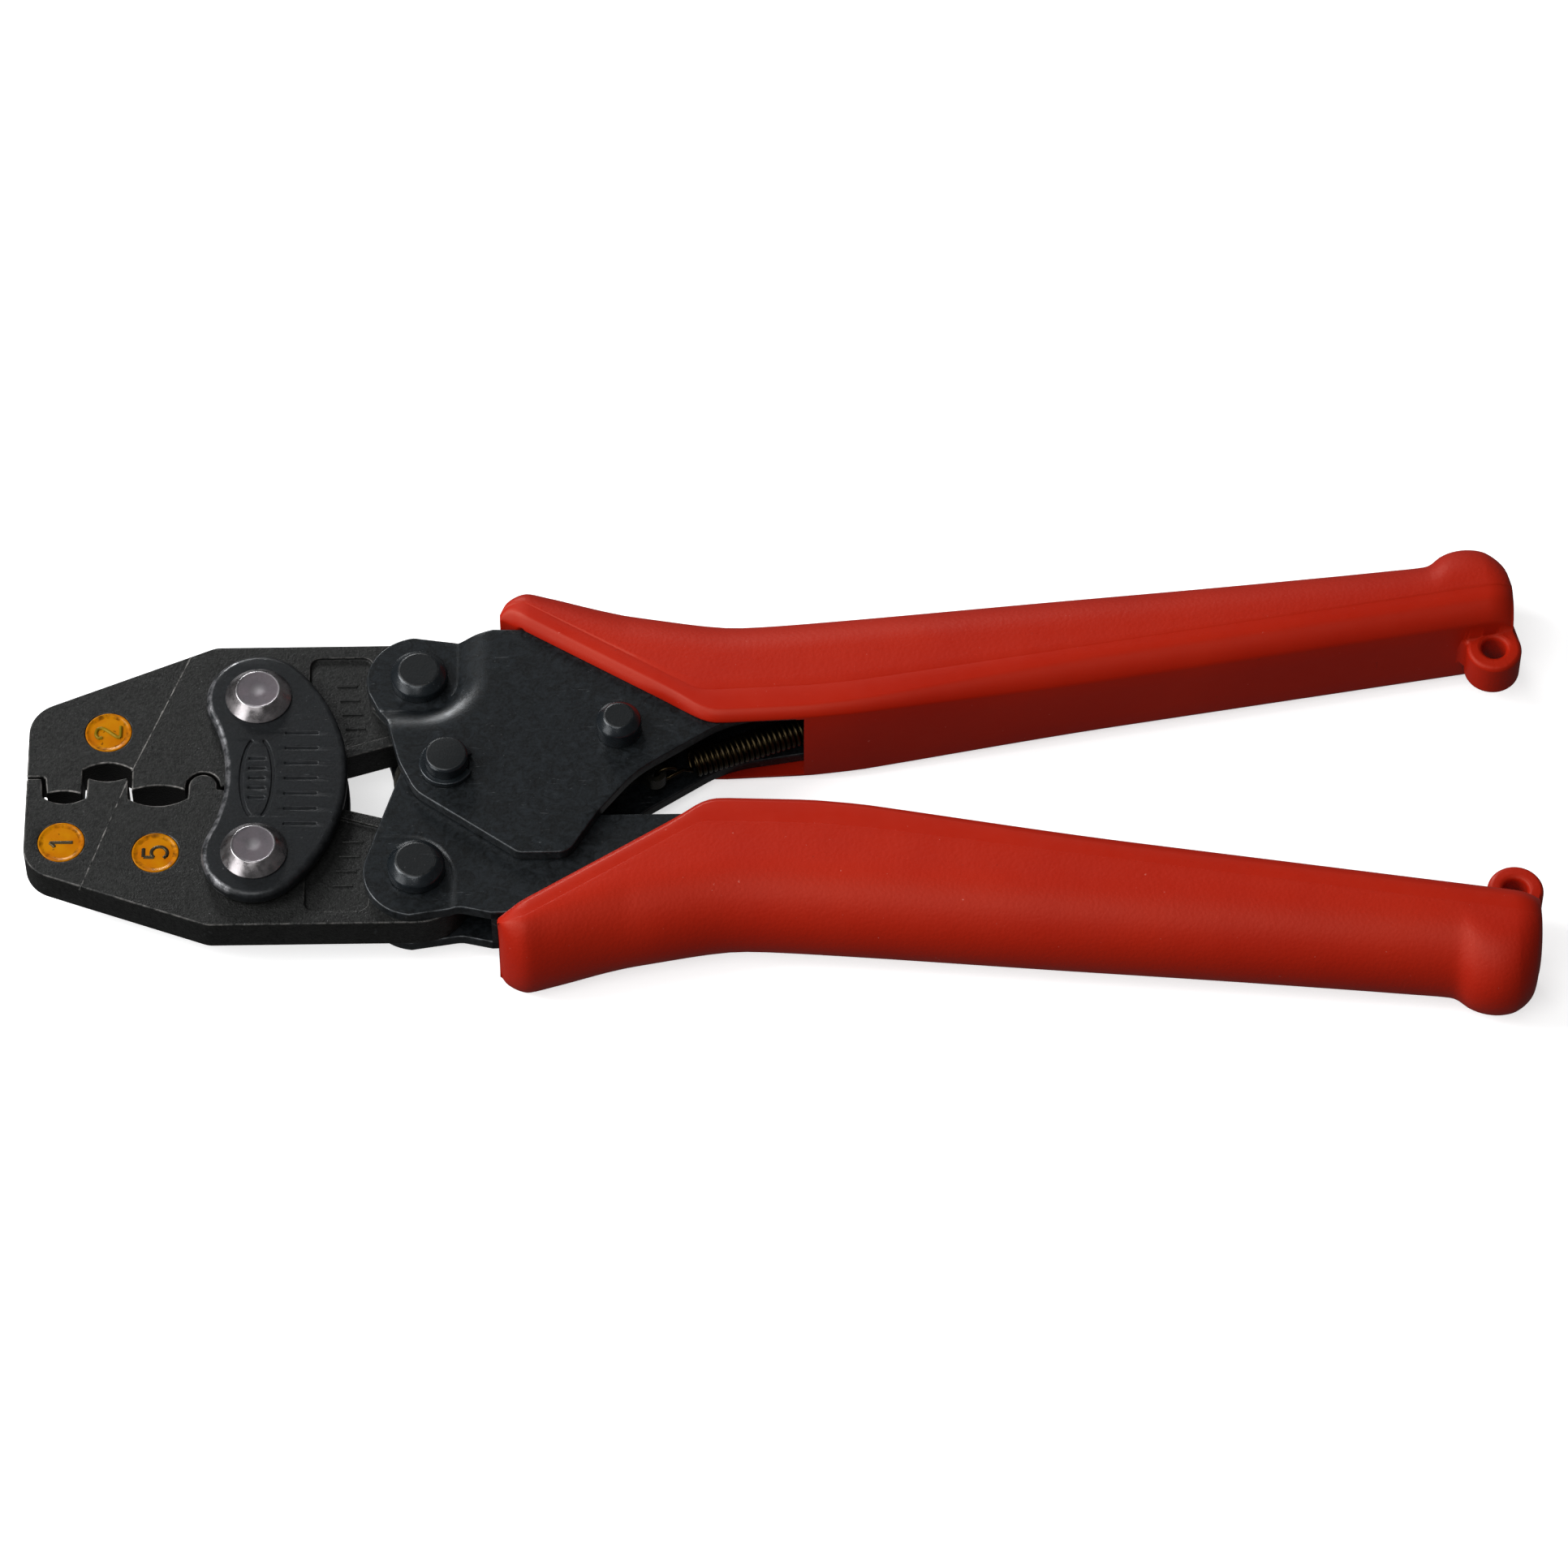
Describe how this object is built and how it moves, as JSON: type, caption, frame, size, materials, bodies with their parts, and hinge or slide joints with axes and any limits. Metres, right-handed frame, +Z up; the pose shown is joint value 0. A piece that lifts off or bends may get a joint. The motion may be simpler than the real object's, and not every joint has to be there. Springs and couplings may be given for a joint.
{
  "type": "ratchet hand crimping tool",
  "caption": "Compact ratchet hand crimper for bare wire terminals: toggle-linked jaws with lens-shaped die nests, oxide-black steel, red moulded grips, lying closed on its side.",
  "frame": {"origin": "under the middle of the closed tool's bounding box, on the plane that it rests on", "axes": "+X along the tool from the jaws to the grip ends, +Y across the width towards the upper handle, +Z up out of the tool's flat face"},
  "size_m": [0.1732, 0.0622, 0.0154],
  "materials": {
    "jaw_steel": "forged steel with a matt black oxide finish, worn bright along the edges",
    "link_steel": "blue-black oxide, smooth, edges rounded and rubbed bright",
    "sheet_steel": "semi-gloss black oxide on pressed sheet, cloudy and lightly scratched",
    "pin_steel": "blue-black oxide on turned steel",
    "bright_steel": "turned bright steel",
    "spring_steel": "oiled dark spring wire",
    "red_grip": "satin red elastomer, fine texture on the flats and smooth at the inner edges",
    "mark_enamel": "amber enamel fill"
  },
  "bodies": {
    "link_plates": {"front_link_plate": "link_steel", "rear_link_plate": "link_steel", "upper_jaw_rivet": "bright_steel", "lower_jaw_rivet": "bright_steel"},
    "upper_jaw_body": {"upper_jaw": "jaw_steel", "nest_mark_2": "mark_enamel"},
    "lower_jaw_body": {"lower_jaw": "jaw_steel", "nest_mark_1": "mark_enamel", "nest_mark_5": "mark_enamel"},
    "upper_handle": {"upper_handle_frame": "sheet_steel", "upper_grip": "red_grip", "upper_toggle_pin": "pin_steel", "main_pivot_pin": "pin_steel", "front_retaining_ring": "pin_steel", "rear_retaining_ring": "pin_steel", "pawl_pin": "pin_steel", "front_pawl_spacer": "pin_steel", "rear_pawl_spacer": "pin_steel", "spring_anchor_pin": "pin_steel", "pawl_spring": "spring_steel"},
    "lower_handle": {"lower_handle_frame": "sheet_steel", "lower_grip": "red_grip", "lower_toggle_pin": "pin_steel", "ratchet_sector": "jaw_steel", "sector_rivet": "pin_steel"},
    "pawl": {"ratchet_pawl": "jaw_steel"}
  },
  "joints": [
    {"name": "upper_jaw_hinge", "type": "hinge", "parent": "link_plates", "child": "upper_jaw_body", "pos_m": [-0.06008, 0.01075, 0.007], "axis": [0, 0, 1], "range_deg": [-6.3, 0]},
    {"name": "lower_jaw_hinge", "type": "hinge", "parent": "link_plates", "child": "lower_jaw_body", "pos_m": [-0.06008, -0.01075, 0.007], "axis": [0, 0, 1], "range_deg": [0, 6.3]},
    {"name": "upper_handle_hinge", "type": "hinge", "parent": "upper_jaw_body", "child": "upper_handle", "pos_m": [-0.04158, 0.0132, 0.007], "axis": [0, 0, 1], "range_deg": [0, 28]},
    {"name": "lower_handle_hinge", "type": "hinge", "parent": "lower_jaw_body", "child": "lower_handle", "pos_m": [-0.04158, -0.0132, 0.007], "axis": [0, 0, 1], "range_deg": [-28, 0]},
    {"name": "pawl_rock", "type": "hinge", "parent": "upper_handle", "child": "pawl", "pos_m": [-0.01847, 0.00467, 0.007], "axis": [0, 0, 1], "range_deg": [-8, 50], "stiffness_Nm_per_rad": 0.02, "deforming": ["pawl_spring"]}
  ],
  "couplings": [
    {"joint": "upper_jaw_hinge", "follows": "upper_handle_hinge", "ratio": -0.2235},
    {"joint": "lower_jaw_hinge", "follows": "upper_handle_hinge", "ratio": 0.2235},
    {"joint": "lower_handle_hinge", "follows": "upper_handle_hinge", "ratio": -1}
  ]
}
